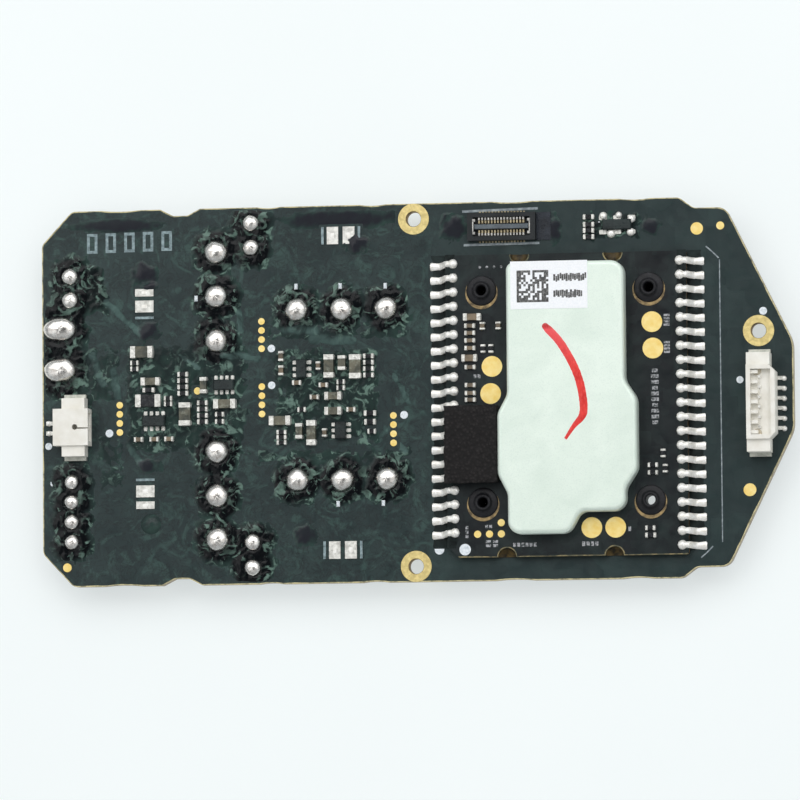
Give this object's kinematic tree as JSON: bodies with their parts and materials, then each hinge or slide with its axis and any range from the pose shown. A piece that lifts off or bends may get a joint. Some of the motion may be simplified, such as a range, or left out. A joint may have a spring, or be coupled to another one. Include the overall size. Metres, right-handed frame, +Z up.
{
  "type": "flight controller board",
  "caption": "Quadcopter power and flight control board: long shaped circuit board with a soldered computer module under a metal can, solder joints, probe pads and wire sockets.",
  "frame": {"origin": "middle of the board in plan, at the height of its lowest underside parts", "axes": "+X towards the pointed nose end, +Z up through the module's shield can"},
  "size_m": [0.0954, 0.0476, 0.0081],
  "materials": {
    "power_laminate": "dark green-black solder mask over glass laminate, golden at the cut edges",
    "module_laminate": "near-black solder mask with fine copper relief",
    "gold_plate": "immersion gold, satin",
    "solder": "bright reflowed and hand-fed solder",
    "tin_plate": "matte tin",
    "can_metal": "satin nickel silver with a faint green cast",
    "label_paper": null,
    "marker_ink": "red paint-pen ink",
    "silk_ink": "screen-printed marks",
    "foam": "open-cell black foam",
    "grommet_rubber": "soft black rubber",
    "socket_cream": "cream nylon",
    "socket_black": "black liquid-crystal polymer",
    "chip_epoxy": "moulded black epoxy",
    "ceramic_tan": "fired tan-brown ceramic",
    "resistor_glaze": "black glazed resistor film",
    "inductor_case": "pressed iron-powder grey",
    "polymer_case": "black moulded case with a pale polarity bar",
    "thermal_gel": "grey-blue silicone gap pad",
    "clear_coating": "glossy protective resin brushed round the joints",
    "dark_tape": "thin brown-black film"
  },
  "bodies": {
    "root": {"battery_joints": "solder", "buck_chip_leads": "tin_plate", "buck_chips": "chip_epoxy", "buck_inductors": "inductor_case", "current_sensor_pads": "tin_plate", "drive_capacitor_ends": "tin_plate", "drive_capacitors": "ceramic_tan", "drive_chip_leads": "tin_plate", "drive_chips": "chip_epoxy", "drive_controllers": "chip_epoxy", "drive_resistor_ends": "tin_plate", "drive_resistors": "resistor_glaze", "filter_capacitor_ends": "tin_plate", "filter_capacitors": "ceramic_tan", "flight_module_board": "module_laminate", "foam_pad": "foam", "gate_drivers": "chip_epoxy", "grommet_rings": "gold_plate", "header_joints": "solder", "header_socket": "socket_black", "ink_mark": "marker_ink", "lamp_socket": "socket_black", "lamp_wire_joints": "solder", "large_test_pads": "gold_plate", "memory_chip": "chip_epoxy", "mezzanine_contacts": "gold_plate", "mezzanine_socket": "socket_black", "module_capacitor_ends": "tin_plate", "module_capacitors": "ceramic_tan", "module_joints_left": "solder", "module_joints_right": "solder", "module_resistor_ends": "tin_plate", "module_resistors": "resistor_glaze", "mosfet_tabs": "tin_plate", "motion_sensor": "chip_epoxy", "motor_mosfets": "chip_epoxy", "motor_phase_joints": "solder", "mounting_hole_rings": "gold_plate", "polymer_capacitor_tabs": "tin_plate", "polymer_capacitors": "polymer_case", "power_board": "power_laminate", "pressure_sensor": "tin_plate", "processor_chip": "chip_epoxy", "screw_grommets": "grommet_rubber", "shield_cover": "can_metal", "shield_frame": "tin_plate", "shield_label": "label_paper", "six_pin_contacts": "tin_plate", "six_pin_socket": "socket_cream", "small_test_pads": "gold_plate", "socket_nails": "tin_plate", "socket_pins": "gold_plate", "staking_glue_blob": "clear_coating", "tape_patch": "dark_tape", "thermal_pad": "thermal_gel", "two_pin_contacts": "tin_plate", "two_pin_socket": "socket_cream", "underside_capacitor_ends": "tin_plate", "underside_capacitors": "ceramic_tan", "underside_wire_lands": "tin_plate"}
  },
  "joints": []
}
